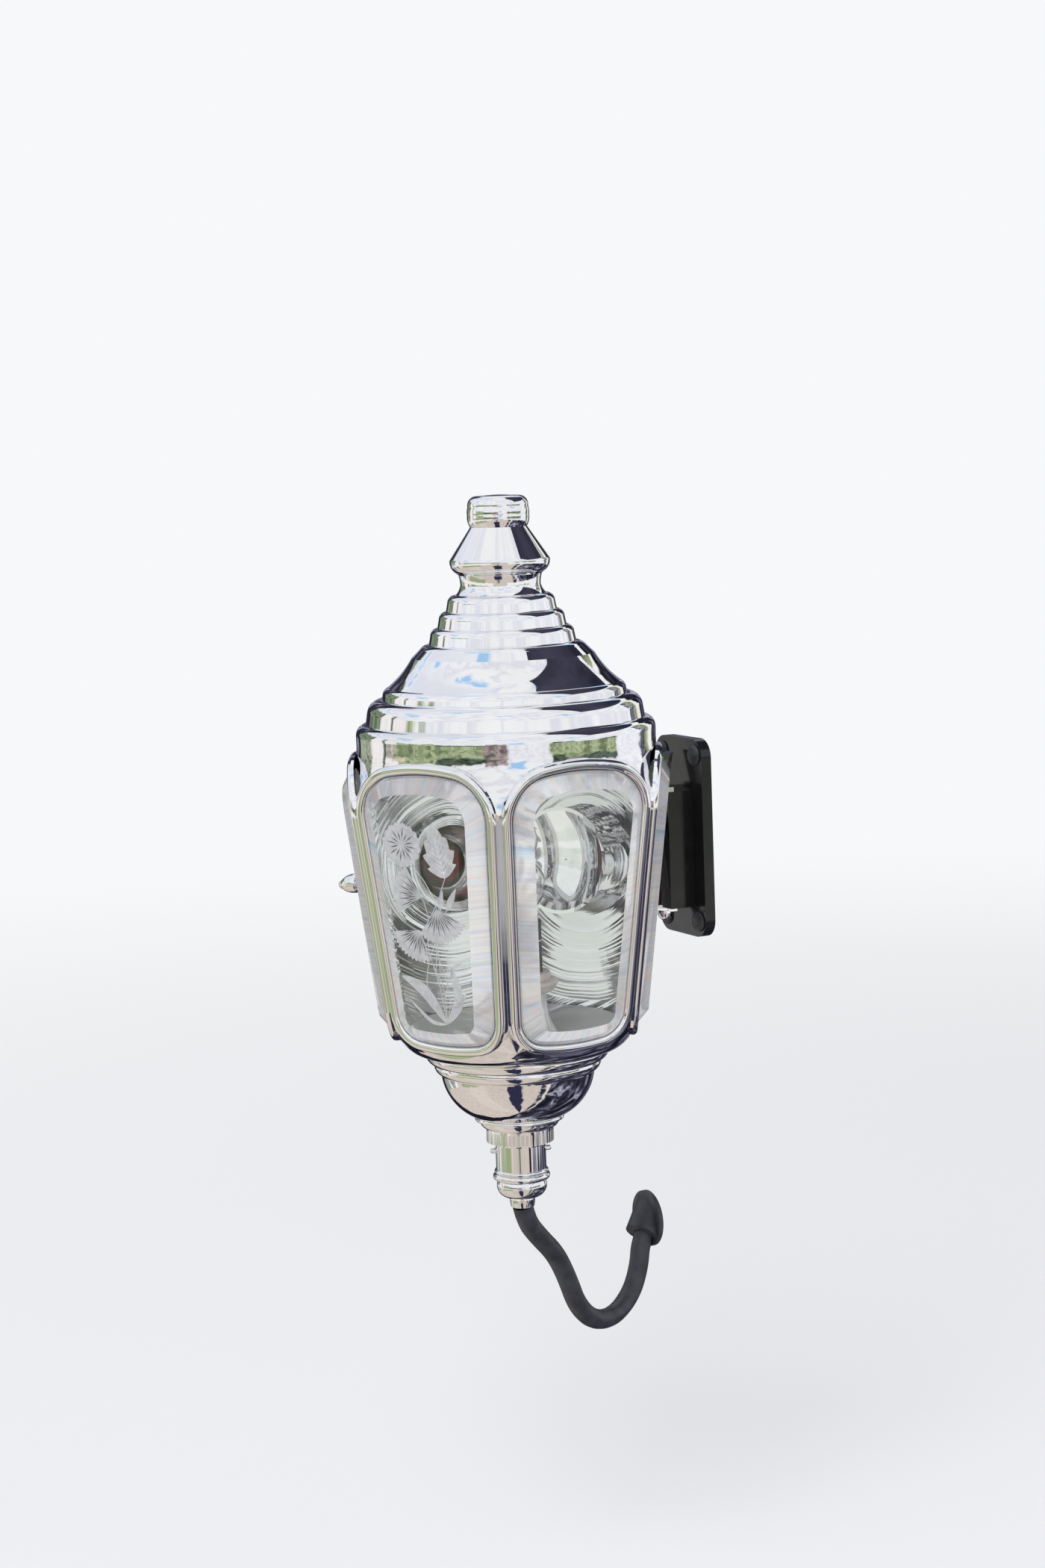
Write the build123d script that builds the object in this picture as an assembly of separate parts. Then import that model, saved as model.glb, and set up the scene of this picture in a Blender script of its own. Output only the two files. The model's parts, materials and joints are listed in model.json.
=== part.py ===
from build123d import *
import math
import os

# Silver-plated carriage side lamp: a tapering hexagonal lantern with bevelled panes,
# spun roof and finial, rear door with a red jewel, filament bulb, bayonet plug with
# its rubber lead, and the side iron that slides into a bracket on the pillar.
# Millimetres, +Z up. The wall bracket's back face is the plane X = 0 and its centre is
# the origin. The lamp's axis stands at X = -reach, and -Y is the way the carriage faces.

os.makedirs("parts", exist_ok=True)

# Placing
reach = 90.0              # bracket's back face to the lamp's axis
body_top_z = 52.0         # top edge of the body above the bracket's centre

# Hexagonal body
flats_top = 129.9         # across flats at the top edge
flats_foot = 96.8         # across flats where the side planes end
side_height = 138.0       # height of the six side planes
sheet = 1.6               # metal of the body
rim_inset = 0.55          # round top edge, which the rim sits on, inside the side planes
spring_drop = 28.0        # top edge down to where the corners reach full width
cove = 2.4                # hollow of the round shoulder between them
corner_room = 1.2         # turned outline outside the corners between top and foot
round_foot_up = 20.0      # foot of the sides up to where the corners start to round in
foot_r = 49.6             # radius where the side planes have run out
foot_up = 6.0             # foot of the sides up to that radius
collar_seat_r = 40.5      # edge that the lower collar sits on, and the collar
collar_inset = 0.6        # inside it
collar_seat_up = 0.6      # foot of the sides up to the collar
floor_hole_r = 6.0        # way through for the wires

# Panes and their beads
bead_gap = 0.7            # bead clear of the body's corner
bead_width = 4.4
bead_height = 3.2         # above the side plane
bead_top_gap = 5.8        # top edge of the body down to the bead's crown
bead_foot_gap = 7.2       # bead's lowest point above the foot of the side plane
crown_rise = 7.0          # how far the bead's top side is crowned
crown_sag = 4.0           # and its lower side
top_corner_r = 22.0
foot_corner_r = 16.5
seat_ledge = 2.2          # metal behind each pane's edge
pane_gap = 0.15           # pane to bead
glass_thick = 7.1
bevel_width = 7.0
bevel_depth = 4.8
panel_thick = 1.6         # metal panel of the mirror side

# Rear door
door_gap = 0.35           # door plate clear of the body
door_sheet = 1.4
dish_drop = 62.0          # top edge of the body down to the dish's centre
dish_r = 22.0             # dish round the jewel, and the mirror
dish_depth = 10.0         # jewel's seat outside the side plane
jewel_r = 11.0
jewel_crown = 4.5
door_window_r = 19.0      # hole in the door plate behind the dish
hinge_offset = 4.2        # pin's centre outside the body's corner
pin_r = 1.1
knuckle_r = 2.2
knuckle_long = 9.0
hinge_low = 26.0          # lower hinge above the foot of the corner
hinge_high_drop = 38.0    # top edge of the body down to the upper hinge
hinge_run = 0.25          # between knuckles
knob_drop = 66.7          # top edge of the body down to the door's knob
knob_r = 4.3
knob_long = 11.0
knob_stem_r = 2.4
knob_stem_long = 11.0

# Concave mirror on the inboard rear panel
mirror_stand = 15.0       # bottom of its hollow to the panel
mirror_depth = 5.5
mirror_sheet = 1.0
mirror_rim = 1.6
mirror_foot_r = 25.0      # its flared tube, where it stands on the panel

# Roof, from the body's top edge upward
rim_high = 6.5
rim_wall = 1.6            # upright part, the rest is its round shoulder
rim_bore_r = 53.0
skirt_high = 10.3
skirt_wall = 4.4
skirt_r = 60.0
skirt_bore_r = 46.0
dome_high = 22.8
dome_wall = 2.0
dome_foot_r = 52.6
dome_waist_r = 39.2       # where its hollow flank turns to the upper shoulder
dome_top_r = 31.8
dome_sheet = 1.5
step_count = 3
step_high = 6.9
step_wall = 3.6
step_low_r = 31.6
step_back = 3.9           # each ring smaller than the one below
wall_taper = 0.7          # how far an upright wall leans in
crown_high = 28.6
crown_flare_r = 19.4
crown_neck_r = 17.2
crown_edge_r = 21.5
crown_top_r = 12.2
button_high = 13.6
button_low = 5.0          # height of its fullest ring
button_wall = 3.6         # upright part above that
button_r = 13.3
button_neck_r = 12.3

# Inside
tray_r = 44.0
tray_high = 9.0
tray_sheet = 1.2
tray_bed_r = 20.0
pedestal_r = 19.0
pedestal_top_r = 12.5
pedestal_high = 23.0
insulator_r = 17.0
insulator_step_r = 14.0
insulator_high = 8.6
cap_r = 11.0
cap_high = 24.0
bulb_r = 13.5
bulb_neck_r = 8.0
bulb_neck_high = 3.0
bulb_wall = 0.8

# Below the body
collar_high = 9.8
collar_step = 2.7
bowl_r = 33.4
bowl_high = 19.6
bowl_foot_r = 19.0
flange_r = 19.2
flange_high = 5.2
flange_lip = 1.6
cup_r = 15.0
knurl_r = 14.7
knurl_high = 7.4
knurl_lip = 1.2
knurl_count = 48
knurl_groove_r = 0.45
barrel_r = 11.0
barrel_high = 11.2
side_pin_r = 1.1
side_pin_out = 2.4
side_pin_drop = 3.0
side_pin_azimuth = 70
shell_r = 12.4
shell_high = 12.8
gland_r = 5.5
gland_high = 4.3
lead_r = 4.5

# Side iron, bracket and grommet
web_thick = 1.3
rail_clear = 3.7          # rail clear of the body's corner at the rail's top
rail_thick = 3.0
rail_wide = 16.0
rail_top_drop = 29.0
rail_long = 55.2
lug_rise = 15.0
lug_out = 6.0
lug_wide = 6.0
slide_gap = 0.2           # rail in its bracket
hook_thick = 1.6
cheek_thick = 3.0
slot_wide = 6.4           # way through for the rail's web
bracket_long = 52.0
flange_plate = 5.0
flange_wide = 40.0
flange_long = 88.0
flange_corner_r = 8.0
screw_r = 2.75
screw_side = 6.0          # screw's centre to the flange's side
screw_end = 7.0           # and to its end
nut_r = 4.2
nut_high = 5.0
nut_gap = 0.2             # nut in its bracket
grommet_r = 8.5
grommet_long = 9.0
grommet_foot_r = 13.0
grommet_foot = 2.0

# Route of the lead in an upright plane through the lamp's axis: share of the way from the
# axis to the pillar, millimetres below the gland's mouth
lead_azimuth = 118
lead_route = [
    (0.0, 0.0), (0.023, 7.5), (0.108, 16.3), (0.235, 27.5), (0.319, 40.8), (0.388, 55.3),
    (0.515, 65.8), (0.677, 68.3), (0.824, 61.6), (0.898, 50.3), (0.917, 38.8), (1.0, 29.5),
]

# Worked-out places
tan30 = math.tan(math.radians(30))
slope = math.atan((flats_top - flats_foot) / 2 / side_height)
rim_seat_r = flats_top / 2 - rim_inset
collar_r = collar_seat_r - collar_inset
slant = side_height / math.cos(slope)
foot_z = body_top_z - side_height
collar_z = foot_z + collar_seat_up


def apothem(z):
    """Axis to the side planes at height z."""
    return flats_foot / 2 + (z - foot_z) * math.tan(slope)


def revolved(rows):
    """A turned solid on the Z axis. Rows: radius, height, bulge of the edge that leads
    to the next row (0 is straight, positive bulges to its left)."""
    edges = []
    for i, (r, h, bulge) in enumerate(rows):
        start, end = (r, h), rows[(i + 1) % len(rows)][:2]
        edges.append(SagittaArc(start, end, bulge) if bulge else Line(start, end))
    return revolve(Plane.XZ * make_face(edges), Axis.Z)


def turned(rows, base=0.0):
    """The same on the lamp's axis, with heights above base."""
    return Pos(-reach, 0, base) * revolved(rows)


def cap_bulge(r, high):
    """Bulge of the arc that crowns radius r by high with its centre on the axis."""
    ball = (r ** 2 + high ** 2) / (2 * high)
    return ball - math.sqrt(ball ** 2 - (r ** 2 + high ** 2) / 4)


def scoop_bulge(wide, high):
    """Bulge of the arc that leaves level and rises by high over wide."""
    return math.hypot(wide, high) / 2 * math.tan(math.atan2(high, wide) / 2)


def side_plane(azimuth):
    """Plane of one side of the body: x across it, y up it, z out of it."""
    a = math.radians(azimuth)
    out = Vector(math.sin(a), -math.cos(a), 0)
    foot = Vector(-reach, 0, foot_z) + out * (flats_foot / 2)
    normal = out * math.cos(slope) - Vector(0, 0, math.sin(slope))
    return Plane(foot, x_dir=(math.cos(a), math.sin(a), 0), z_dir=normal)


def pane_outline(inset):
    """Outline on a side plane, inset from the outer edge of the bead."""
    low, high = bead_foot_gap + crown_sag, slant - bead_top_gap - crown_rise
    half = [(flats_foot / 2 + v * math.sin(slope)) * tan30 - bead_gap for v in (low, high)]
    edges = [
        Line((-half[0], low), (-half[1], high)),
        ThreePointArc((-half[1], high), (0, high + crown_rise), (half[1], high)),
        Line((half[1], high), (half[0], low)),
        ThreePointArc((half[0], low), (0, low - crown_sag), (-half[0], low)),
    ]
    face = make_face(edges)
    corners = face.vertices().sort_by(Axis.Y)
    face = fillet(corners[2:], top_corner_r)
    face = fillet(face.vertices().sort_by(Axis.Y).filter_by(lambda v: is_corner(v, half[0], low)),
                  foot_corner_r)
    return offset(face, -inset, kind=Kind.INTERSECTION) if inset else face


def is_corner(vertex, half, low):
    """Whether a vertex is one of the two sharp lower corners."""
    return abs(abs(vertex.X) - half) < 0.01 and abs(vertex.Y - low) < 0.01


def bead(azimuth, base):
    """Half-round bead ring standing on its side plane from height base."""
    ring = pane_outline(0) - pane_outline(bead_width)
    solid = extrude(ring, bead_height - base)
    top = solid.edges().group_by(Axis.Z)[-1]
    solid = fillet(top, min(bead_width / 2, bead_height - base) * 0.9)
    return side_plane(azimuth) * Pos(0, 0, base) * solid


def save(solid, name):
    """One piece, one file."""
    solid.label = name
    export_step(solid, f"parts/{name}.step")
    print(name, round(solid.volume), "mm3")


# Body frame
def body_blank(inset, top, foot):
    """The body's outer form, or the hollow inside it, with its ends given."""
    low, high = (
        Pos(-reach, 0, z) * RegularPolygon(apothem(z) - inset / math.cos(slope), 6,
                                           major_radius=False)
        for z in (foot_z - 10, body_top_z + 10)
    )
    prism = loft([low, high], ruled=True)
    corner = [apothem(body_top_z - d) / math.cos(math.pi / 6) + corner_room
              for d in (spring_drop, side_height - round_foot_up)]
    turned_form = turned([
        (0, foot, 0),
        (collar_seat_r - inset, foot, -1.2),
        (foot_r - inset, foot_up - side_height, -0.4),
        (corner[1] - inset, round_foot_up - side_height, 0),
        (corner[0] - inset, -spring_drop, cove),
        (rim_seat_r - inset, 0, 0),
        (rim_seat_r - inset, top, 0),
        (0, top, 0),
    ], body_top_z)
    return prism & turned_form


sides = {"front": 0, "outer_front": -60, "outer_rear": -120, "rear": 180,
         "inner_rear": 120, "inner_front": 60}
glazed = ("front", "outer_front", "outer_rear", "inner_front")

collar_seat = collar_seat_up - side_height
outer_form = body_blank(0, 0.01, collar_seat)
body = outer_form - body_blank(sheet, 5, collar_seat + sheet)
opening = extrude(pane_outline(bead_width + seat_ledge), 4, both=True)
for azimuth in sides.values():
    body -= side_plane(azimuth) * opening
body -= Pos(-reach, 0, collar_z) * Cylinder(floor_hole_r, 4 * sheet)
save(body, "body_frame")


# Panes, beads and the mirror side
def glass_pane():
    """Thick pane with a wide bevel, flat side on z = 0."""
    face = pane_outline(bead_width + pane_gap)
    slab = extrude(face, glass_thick)
    top = slab.faces().sort_by(Axis.Z)[-1]
    return chamfer(top.edges(), bevel_width, bevel_depth, reference=top)


pane = glass_pane()
for side in glazed:
    save(bead(sides[side], 0), f"bead_{side}")
    save(side_plane(sides[side]) * pane, f"pane_{side}")

# Up the slope from the foot of a side plane to the centre of the dish and mirror
dish_up = (side_height - dish_drop) / math.cos(slope)

save(bead(sides["inner_rear"], 0), "bead_inner_rear")
panel = extrude(pane_outline(bead_width + pane_gap), panel_thick)
save(side_plane(sides["inner_rear"]) * panel, "mirror_panel")


def turned_on(azimuth, rows):
    """A turned piece on a side's dish centre, with heights out of the side plane."""
    return side_plane(azimuth) * Pos(0, dish_up, 0) * revolved(rows)


# The mirror is a saucer, hollow to the inside, on a flared tube that stands on the panel
hollow = cap_bulge(dish_r, mirror_depth)
mirror_back = mirror_sheet - mirror_stand
save(turned_on(sides["inner_rear"], [
    (0, -mirror_stand, hollow),
    (dish_r, -mirror_stand - mirror_depth, 0),
    (dish_r + mirror_rim, -mirror_stand - mirror_depth, 0.4),
    (mirror_foot_r, 0, 0),
    (dish_r, 0, 0),
    (dish_r, mirror_back - mirror_depth, -hollow),
    (0, mirror_back, 0),
]), "concave_mirror")

# Roof: each ring is an upright wall with a round shoulder that runs in under the next one
rim_z = body_top_z
save(turned([
    (rim_bore_r, 0, 0),
    (rim_seat_r, 0, 0),
    (rim_seat_r, rim_wall, -1.3),
    (skirt_r, rim_high, 0),
    (rim_bore_r, rim_high, 0),
], rim_z), "body_rim")

skirt_z = rim_z + rim_high
save(turned([
    (skirt_bore_r, 0, 0),
    (skirt_r, 0, 0),
    (skirt_r - wall_taper, skirt_wall, -1.8),
    (dome_foot_r, skirt_high, 0),
    (skirt_bore_r, skirt_high, 0),
], skirt_z), "roof_skirt")

dome_z = skirt_z + skirt_high
dome_lip = dome_top_r - 4
dome_bore_r = dome_foot_r - 5
save(turned([
    (dome_bore_r, 0, 0),
    (dome_foot_r, 0, 0),
    (dome_foot_r - 0.3, dome_wall, -0.5),
    (dome_foot_r - 2.6, dome_high * 0.22, 0.8),
    (dome_waist_r, dome_high * 0.76, 0),
    (dome_top_r + 3.9, dome_high * 0.91, -0.5),
    (dome_top_r, dome_high, 0),
    (dome_lip, dome_high, 0),
    (dome_lip, dome_high - dome_sheet, 0.6),
    (dome_waist_r - 2.4, dome_high * 0.73, -0.7),
    (dome_bore_r, dome_high * 0.2, 0),
], dome_z), "roof_dome")

steps_z = dome_z + dome_high
rows = []
for i in range(step_count):
    r = step_low_r - i * step_back
    rows += [(r, i * step_high, 0), (r - wall_taper, i * step_high + step_wall, -0.9)]
steps_high = step_count * step_high
step_top_r = step_low_r - step_count * step_back
save(turned([(crown_neck_r - 4, 0, 0)] + rows + [
    (step_top_r, steps_high, 0),
    (crown_neck_r - 4, steps_high, 0),
], steps_z), "roof_steps")

crown_z = steps_z + steps_high
save(turned([
    (0, 0, 0),
    (crown_flare_r, 0, 0.3),
    (crown_neck_r, crown_high * 0.14, 0.15),
    (crown_neck_r + 0.7, crown_high * 0.29, 0),
    (crown_neck_r + 1.6, crown_high * 0.32, -0.7),
    (crown_edge_r, crown_high * 0.48, -0.15),
    (crown_edge_r - 0.3, crown_high * 0.53, 0),
    (crown_top_r, crown_high, 0),
    (0, crown_high, 0),
], crown_z), "crown")

button_z = crown_z + crown_high
save(turned([
    (0, 0, 0),
    (button_neck_r, 0, -0.4),
    (button_r, button_low, -0.2),
    (button_r - 0.3, button_low + button_wall, -1.8),
    (button_r - 5.2, button_high - 0.6, -cap_bulge(button_r - 5.2, 0.6)),
    (0, button_high, 0),
], button_z), "finial_button")

# Inside the body
floor_z = collar_z + sheet
scoop = scoop_bulge(tray_r - tray_bed_r, tray_high)
save(turned([
    (floor_hole_r, 0, 0),
    (tray_bed_r, 0, -scoop),
    (tray_r, tray_high, 0),
    (tray_r, tray_high + tray_sheet, scoop),
    (tray_bed_r, tray_sheet, 0),
    (floor_hole_r, tray_sheet, 0),
], floor_z), "reflector_tray")

pedestal_z = floor_z + tray_sheet
save(turned([
    (0, 0, 0),
    (pedestal_r, 0, 0),
    (pedestal_r, 2, 2.4),
    (pedestal_top_r, pedestal_high, 0),
    (0, pedestal_high, 0),
], pedestal_z), "bulb_pedestal")

insulator_z = pedestal_z + pedestal_high
save(turned([
    (0, 0, 0),
    (insulator_step_r, 0, -0.6),
    (insulator_r, insulator_high * 0.35, -0.6),
    (insulator_r, insulator_high * 0.6, 0),
    (insulator_step_r, insulator_high * 0.6, -0.5),
    (insulator_step_r, insulator_high, 0),
    (0, insulator_high, 0),
], insulator_z), "bulb_insulator")

cap_z = insulator_z + insulator_high
save(turned([
    (0, 0, 0),
    (cap_r, 0, 0),
    (cap_r, cap_high - 2, 0),
    (bulb_neck_r + 1, cap_high, 0),
    (0, cap_high, 0),
], cap_z), "bulb_cap")


def bulb_form(inset):
    """Globe on a short neck, standing on the cap."""
    neck = bulb_neck_high + math.sqrt(bulb_r ** 2 - bulb_neck_r ** 2)
    centre = cap_z + cap_high + neck
    globe = Pos(-reach, 0, centre) * Sphere(bulb_r - inset)
    return globe + Pos(-reach, 0, centre - neck / 2 + inset / 2) * Cylinder(
        bulb_neck_r - inset, neck - inset)


save(bulb_form(0) - bulb_form(bulb_wall), "bulb_glass")

# Below the body
save(turned([
    (0, 0, 0),
    (collar_r, 0, 1.0),
    (collar_r - collar_step, -collar_high * 0.47, 0),
    (collar_r - collar_step - 1.0, -collar_high * 0.5, 0.8),
    (collar_r - 2 * collar_step, -collar_high * 0.94, 0),
    (collar_r - 2 * collar_step - 0.8, -collar_high, 0),
    (0, -collar_high, 0),
], collar_z), "base_collar")

bowl_z = collar_z - collar_high
save(turned([
    (0, 0, 0),
    (bowl_r, 0, 3.4),
    (bowl_foot_r, -bowl_high, 0),
    (0, -bowl_high, 0),
], bowl_z), "base_bowl")

cup_z = bowl_z - bowl_high
save(turned([
    (0, 0, 0),
    (flange_r, 0, 0.3),
    (flange_r, -flange_lip, 0),
    (flange_r - 1.8, -flange_lip - 0.6, 0.6),
    (cup_r, -flange_high, 0),
    (0, -flange_high, 0),
], cup_z), "socket_cup")

knurl_z = cup_z - flange_high
ring = turned([
    (0, 0, 0),
    (knurl_r, 0, 0),
    (knurl_r, -knurl_high + knurl_lip, 0),
    (barrel_r + 0.7, -knurl_high, 0),
    (0, -knurl_high, 0),
], knurl_z)
groove = Pos(knurl_r, 0, knurl_z - knurl_high / 2) * Cylinder(
    knurl_groove_r, knurl_high - 2 * knurl_lip)
grooves = [Pos(-reach, 0, 0) * Rot(0, 0, i * 360 / knurl_count) * groove
           for i in range(knurl_count)]
save(ring - grooves, "knurled_ring")

barrel_z = knurl_z - knurl_high
save(turned([
    (0, 0, 0),
    (barrel_r, 0, 0),
    (barrel_r, -barrel_high, 0),
    (0, -barrel_high, 0),
], barrel_z), "plug_barrel")

pin_pair = Pos(-reach, 0, barrel_z - side_pin_drop) * Rot(0, 0, side_pin_azimuth - 90)
pins = []
for turn in (0, 180):
    stem = Pos(barrel_r + side_pin_out / 2, 0, 0) * Rot(0, 90, 0) * Cylinder(
        side_pin_r, side_pin_out)
    stem = fillet(stem.edges().filter_by(GeomType.CIRCLE).sort_by(Axis.X)[-1],
                  side_pin_r * 0.8)
    barrel = Cylinder(barrel_r, 4 * side_pin_r)
    pins.append(pin_pair * Rot(0, 0, turn) * (stem - barrel))
save(Compound(children=[p.solid() for p in pins]), "bayonet_pins")

shell_z = barrel_z - barrel_high
save(turned([
    (0, 0, 0),
    (shell_r - 1.2, 0, 0.6),
    (shell_r - 1.2, -1.9, 0),
    (shell_r - 0.7, -1.9, 0.8),
    (shell_r - 0.7, -4.6, 0),
    (shell_r - 1.9, -5.2, 2.3),
    (gland_r + 0.5, -shell_high, 0),
    (0, -shell_high, 0),
], shell_z), "plug_shell")

gland_z = shell_z - shell_high
save(turned([
    (0, 0, 0),
    (gland_r, 0, 0.2),
    (lead_r + 0.6, -gland_high, 0),
    (0, -gland_high, 0),
], gland_z), "lead_gland")

# Lead
mouth_z = gland_z - gland_high
along = math.radians(lead_azimuth)
points = [Vector(-reach + share * reach, -share * reach / math.tan(along), mouth_z - drop)
          for share, drop in lead_route]
radii = []
for before, here, after in zip(points, points[1:], points[2:]):
    half_turn = math.radians((here - before).get_angle(after - here)) / 2
    run = min((here - before).length, (after - here).length)
    radii.append(0.45 * run / math.tan(half_turn))
print("lead radii", [round(r, 1) for r in radii])
path = FilletPolyline(*points, radius=radii)
start = Plane(path @ 0, z_dir=path % 0)
lead = sweep(start * Circle(lead_r), path=path)
print("lead length", round(path.length, 1), "volume ratio",
      round(lead.volume / (math.pi * lead_r ** 2 * path.length), 4))
wall_side = Pos(-reach / 2, 0, mouth_z) * Box(reach, 4 * reach, 4 * reach)
below_gland = Pos(0, 0, mouth_z - reach) * Box(4 * reach, 4 * reach, 2 * reach)
save(lead & wall_side & below_gland, "lead")

last = (points[-1] - points[-2]).normalized()
bush = Plane(points[-1], z_dir=last) * Pos(0, 0, -grommet_long / 2 + grommet_r / 2) * Cylinder(
    grommet_r, grommet_long + grommet_r)
foot = Pos(-grommet_foot / 2, points[-1].Y, points[-1].Z) * Rot(0, 90, 0) * Cylinder(
    grommet_foot_r, grommet_foot)
bore = lead + Plane(points[-1], z_dir=last) * Cylinder(lead_r, grommet_long)
save((bush + foot - bore) & wall_side, "lead_grommet")


# Rear door
rear = sides["rear"]
plate = extrude(pane_outline(0), door_sheet)
window = Pos(0, dish_up, 0) * Cylinder(door_window_r, 4 * door_sheet)
door = side_plane(rear) * Pos(0, 0, door_gap) * (plate - window)


def corner_plane(azimuth, up):
    """Plane on a corner of the body, up its slanting edge: z along the edge, y outward,
    x toward the side with the smaller azimuth."""
    a = math.radians(azimuth)
    out = Vector(math.sin(a), -math.cos(a), 0)
    corner_low = apothem(foot_z) / math.cos(math.pi / 6)
    corner_high = apothem(body_top_z) / math.cos(math.pi / 6)
    edge = (out * (corner_high - corner_low) + Vector(0, 0, side_height)).normalized()
    origin = Vector(-reach, 0, foot_z) + out * corner_low + edge * up
    return Plane(origin, x_dir=(-math.cos(a), -math.sin(a), 0), z_dir=edge)


def pillar_of(outline, length):
    """A prism of the outline, length long and centred on the sketch plane."""
    return extrude(make_face(Polyline(*outline, close=True)), length / 2, both=True)


# Tabs run from the edge of the door plate to the knuckle, and from the corner to it.
# Columns: across the corner (door side negative), out of it.
def off_corner(past, out):
    """A point past the corner along the door's plane and out of it, on the corner plane."""
    lean = math.radians(30)
    return (past * math.cos(lean) - out * math.sin(lean),
            past * math.sin(lean) + out * math.cos(lean))


bite = 0.3
door_tab = [
    off_corner(-bead_gap - bite, door_gap),
    off_corner(-bead_gap - bite, door_gap + door_sheet),
    off_corner(-bead_gap + 0.05, door_gap + door_sheet),
    (-knuckle_r * 0.85, hinge_offset - 0.3),
    (0.3, hinge_offset - 1.5),
]
web = web_thick / 2
frame_tab = [(-web, -1.0), (-web, hinge_offset - 1.5), (web, hinge_offset - 1.5), (web, -1.0)]

hinge_azimuth = 150
knob_azimuth = -150
step = (knuckle_long + hinge_run) / 2
hinge_levels = (hinge_low, side_height - hinge_high_drop)
pin_bore = Pos(0, hinge_offset, 0) * Cylinder(pin_r, 2 * side_height)
knuckle = Pos(0, hinge_offset, 0) * Cylinder(knuckle_r, knuckle_long)
frame_knuckles = []
for level in hinge_levels:
    place = corner_plane(hinge_azimuth, level)
    door += place * Pos(0, 0, step) * (pillar_of(door_tab, knuckle_long) + knuckle - pin_bore)
    frame_knuckles.append(place * Pos(0, 0, -step) * (
        pillar_of(frame_tab, knuckle_long) + knuckle - pin_bore) - outer_form)

knob_up = (side_height - knob_drop) / math.cos(slope)
knob_place = corner_plane(knob_azimuth, knob_up)
knob_tab = [(-x, y) for x, y in door_tab]
boss = Pos(0, hinge_offset - 1.0, 0) * Rot(-90, 0, 0) * Cylinder(knob_stem_r, 3.0)
door += knob_place * (pillar_of(knob_tab, 2 * knob_stem_r) + boss)
save(door, "door_plate")
save(Compound(children=[k.solid() for k in frame_knuckles]), "frame_knuckles")

ball_r = knuckle_r * 0.8
ball_out = knuckle_long + hinge_run / 2 + math.sqrt(ball_r ** 2 - pin_r ** 2)
hinge_pins = []
for level in hinge_levels:
    pin = Pos(0, hinge_offset, 0) * Cylinder(pin_r - 0.05, 2 * ball_out)
    balls = [Pos(0, hinge_offset, end) * Sphere(ball_r) for end in (-ball_out, ball_out)]
    hinge_pins.append(corner_plane(hinge_azimuth, level) * (pin + balls))
save(Compound(children=[h.solid() for h in hinge_pins]), "hinge_pins")

knob_base = hinge_offset + 0.5
nose = knob_r * 0.45
knob = revolved([
    (0, 0, 0),
    (knob_stem_r + 0.8, 0, 0),
    (knob_stem_r, 1.5, 0),
    (knob_stem_r, knob_stem_long, 0),
    (knob_r - 0.6, knob_stem_long, -0.3),
    (knob_r, knob_stem_long + 2.5, -0.6),
    (nose, knob_stem_long + knob_long - nose, -cap_bulge(nose, nose)),
    (0, knob_stem_long + knob_long, 0),
])
save(knob_place * Pos(0, knob_base, 0) * Rot(-90, 0, 0) * knob, "door_knob")

door_top = door_gap + door_sheet
save(bead(rear, door_top), "bead_rear")
save(turned_on(rear, [
    (jewel_r - 1.0, dish_depth, 0),
    (jewel_r + 1.5, dish_depth, 0),
    (jewel_r + 2.5, dish_depth - 2.0, 0.6),
    (door_window_r - 0.2, door_top, 0),
    (door_window_r - 0.2, -sheet - 3.0, 0),
    (dish_r, -sheet - 4.4, 0),
    (dish_r - 0.6, -sheet - 5.2, 0),
    (door_window_r - 1.8, -sheet - 3.6, -0.6),
    (jewel_r + 0.2, dish_depth - 3.0, 0),
    (jewel_r + 0.2, dish_depth - 1.4, 0),
    (jewel_r - 1.0, dish_depth - 1.4, 0),
]), "door_dish")
save(turned_on(rear, [
    (0, dish_depth - 3.0, 0),
    (jewel_r, dish_depth - 3.0, 0),
    (jewel_r, dish_depth - 1.5, 0),
    (jewel_r - 1.2, dish_depth - 1.5, 0),
    (jewel_r - 1.2, dish_depth, -cap_bulge(jewel_r - 1.2, jewel_crown)),
    (0, dish_depth + jewel_crown, 0),
]), "jewel")

# Side iron: a rib in the corner's valley, a rail outside it and a lug on top
rail_top = body_top_z - rail_top_drop
rail_mid = rail_top - rail_long / 2
rail_out = apothem(rail_top) / math.cos(math.pi / 6) + rail_clear
rib_in = flats_foot / 2 / math.cos(math.pi / 6)
rib = Pos(-reach + (rib_in + rail_out) / 2, 0, rail_mid) * Box(
    rail_out - rib_in, web_thick, rail_long)
rail = Pos(-reach + rail_out + rail_thick / 2, 0, rail_mid) * Box(
    rail_thick, rail_wide, rail_long)
lug_outline = [(rail_out, 0), (rail_out + rail_thick, 0),
               (rail_out + lug_out, lug_rise), (rail_out + lug_out - 2.0, lug_rise - 1.0)]
lug = Plane.XZ * extrude(make_face(Polyline(*lug_outline, close=True)), lug_wide / 2, both=True)
lug = Pos(-reach, 0, rail_top) * lug
save((rib + rail + lug) - outer_form, "side_iron")

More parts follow.
